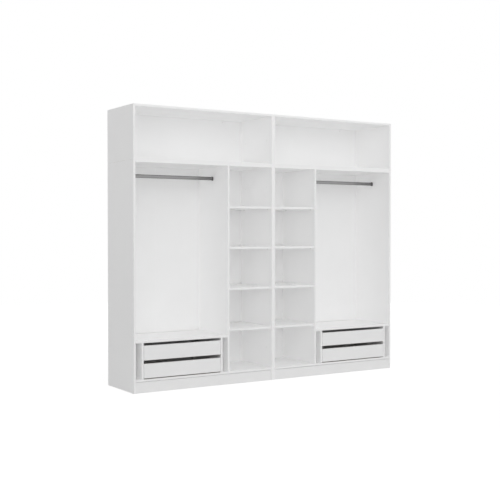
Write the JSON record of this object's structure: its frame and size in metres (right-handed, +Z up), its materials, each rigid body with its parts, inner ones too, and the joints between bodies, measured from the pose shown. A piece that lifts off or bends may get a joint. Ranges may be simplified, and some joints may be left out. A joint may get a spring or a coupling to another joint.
{
  "type": "wardrobe",
  "caption": "Wide open-front wardrobe in mirrored modules, with hanging bays, shelf columns, inset drawers with finger gaps and separate top units.",
  "frame": {"origin": "middle of the footprint, on the floor", "axes": "+X to the right as seen from the front, along the width; +Y to the back; +Z up. The open front faces -Y."},
  "size_m": [2.7, 0.52, 2.345],
  "materials": {
    "white_board": "white melamine on particleboard, fine satin texture, edges banded in white",
    "white_front": "white melamine in a slightly deeper tone, satin, on drawer fronts and plinths",
    "white_drawer": "greyer white melamine and lacquer, plain satin, on the drawers' walls and bottoms",
    "white_back": "fibreboard, white lacquer on the inner face",
    "rod_steel": "satin oval tube",
    "zinc": "zinc plated",
    "white_metal": "white powder coat",
    "white_plastic": "fine matt",
    "beech": "plain fluted beech"
  },
  "bodies": {
    "root": {"left_outer_side": "white_board", "left_inner_side": "white_board", "left_divider": "white_board", "left_ceiling": "white_board", "left_floor": "white_board", "left_plinth": "white_front", "left_shelves": "white_board", "left_insert_top": "white_board", "left_insert_sides": "white_board", "left_top_unit_sides": "white_board", "left_top_unit_floor": "white_board", "left_top_unit_roof": "white_board", "left_back_panels": "white_back", "left_top_unit_back": "white_back", "left_rod": "rod_steel", "right_outer_side": "white_board", "right_inner_side": "white_board", "right_divider": "white_board", "right_ceiling": "white_board", "right_floor": "white_board", "right_plinth": "white_front", "right_shelves": "white_board", "right_insert_top": "white_board", "right_insert_sides": "white_board", "right_top_unit_sides": "white_board", "right_top_unit_floor": "white_board", "right_top_unit_roof": "white_board", "right_back_panels": "white_back", "right_top_unit_back": "white_back", "right_rod": "rod_steel", "back_strips": "white_plastic", "rod_sockets": "rod_steel", "cabinet_rails": "zinc", "shelf_pins": "zinc", "cam_fittings": "zinc", "joining_bolts": "zinc", "floor_glides": "white_plastic", "wall_brackets": "white_metal", "dowels": "beech"},
    "left_lower_drawer": {"left_lower_drawer_front": "white_front", "left_lower_drawer_walls": "white_drawer", "left_lower_drawer_bottom": "white_drawer", "left_lower_drawer_rails": "zinc"},
    "left_lower_middle": {"left_lower_middle_rails": "zinc"},
    "left_upper_drawer": {"left_upper_drawer_front": "white_front", "left_upper_drawer_walls": "white_drawer", "left_upper_drawer_bottom": "white_drawer", "left_upper_drawer_rails": "zinc"},
    "left_upper_middle": {"left_upper_middle_rails": "zinc"},
    "right_lower_drawer": {"right_lower_drawer_front": "white_front", "right_lower_drawer_walls": "white_drawer", "right_lower_drawer_bottom": "white_drawer", "right_lower_drawer_rails": "zinc"},
    "right_lower_middle": {"right_lower_middle_rails": "zinc"},
    "right_upper_drawer": {"right_upper_drawer_front": "white_front", "right_upper_drawer_walls": "white_drawer", "right_upper_drawer_bottom": "white_drawer", "right_upper_drawer_rails": "zinc"},
    "right_upper_middle": {"right_upper_middle_rails": "zinc"}
  },
  "joints": [
    {"name": "left_lower_drawer_slide", "type": "slide", "parent": "root", "child": "left_lower_drawer", "axis": [0, -1, 0], "range_m": [0, 0.45]},
    {"name": "left_lower_middle_slide", "type": "slide", "parent": "root", "child": "left_lower_middle", "axis": [0, -1, 0], "range_m": [0, 0.225]},
    {"name": "left_upper_drawer_slide", "type": "slide", "parent": "root", "child": "left_upper_drawer", "axis": [0, -1, 0], "range_m": [0, 0.45]},
    {"name": "left_upper_middle_slide", "type": "slide", "parent": "root", "child": "left_upper_middle", "axis": [0, -1, 0], "range_m": [0, 0.225]},
    {"name": "right_lower_drawer_slide", "type": "slide", "parent": "root", "child": "right_lower_drawer", "axis": [0, -1, 0], "range_m": [0, 0.45]},
    {"name": "right_lower_middle_slide", "type": "slide", "parent": "root", "child": "right_lower_middle", "axis": [0, -1, 0], "range_m": [0, 0.225]},
    {"name": "right_upper_drawer_slide", "type": "slide", "parent": "root", "child": "right_upper_drawer", "axis": [0, -1, 0], "range_m": [0, 0.45]},
    {"name": "right_upper_middle_slide", "type": "slide", "parent": "root", "child": "right_upper_middle", "axis": [0, -1, 0], "range_m": [0, 0.225]}
  ],
  "couplings": [
    {"joint": "left_lower_middle_slide", "follows": "left_lower_drawer_slide", "ratio": 0.5},
    {"joint": "left_upper_middle_slide", "follows": "left_upper_drawer_slide", "ratio": 0.5},
    {"joint": "right_lower_middle_slide", "follows": "right_lower_drawer_slide", "ratio": 0.5},
    {"joint": "right_upper_middle_slide", "follows": "right_upper_drawer_slide", "ratio": 0.5}
  ]
}
